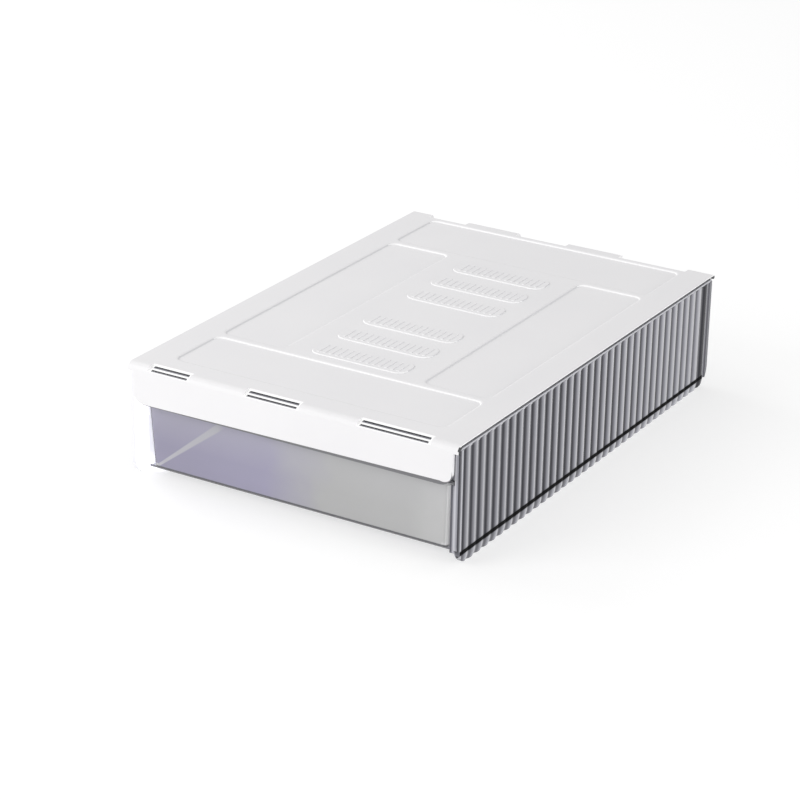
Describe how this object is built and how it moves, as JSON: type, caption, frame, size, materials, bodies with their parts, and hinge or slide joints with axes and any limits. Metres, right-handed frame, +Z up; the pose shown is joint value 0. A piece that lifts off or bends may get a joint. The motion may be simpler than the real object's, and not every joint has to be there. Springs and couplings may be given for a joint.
{
  "type": "storage drawer",
  "caption": "Low clear storage drawer: ribbed clear side walls under a white moulded cover with a deep front apron, and a clear tray that slides out.",
  "frame": {"origin": "on the surface that the case stands on, under the middle of the case", "axes": "+X to the right along the front, +Y to the back, +Z up; the drawer front faces -Y"},
  "size_m": [0.242, 0.355, 0.0817],
  "materials": {
    "top_cover": "white moulded plastic, satin",
    "side_plate_right": "clear grey moulded plastic, glossy",
    "side_plate_left": "clear grey moulded plastic, glossy",
    "base_plate": "clear grey moulded plastic, glossy",
    "back_plate": "clear grey moulded plastic, glossy",
    "drawer_tray": "clear grey moulded plastic, glossy"
  },
  "bodies": {
    "case": {"top_cover": "top_cover", "side_plate_right": "side_plate_right", "side_plate_left": "side_plate_left", "base_plate": "base_plate", "back_plate": "back_plate"},
    "drawer": {"drawer_tray": "drawer_tray"}
  },
  "joints": [
    {"name": "drawer_slide", "type": "slide", "parent": "case", "child": "drawer", "axis": [0, -1, 0], "range_m": [0, 0.257]}
  ]
}
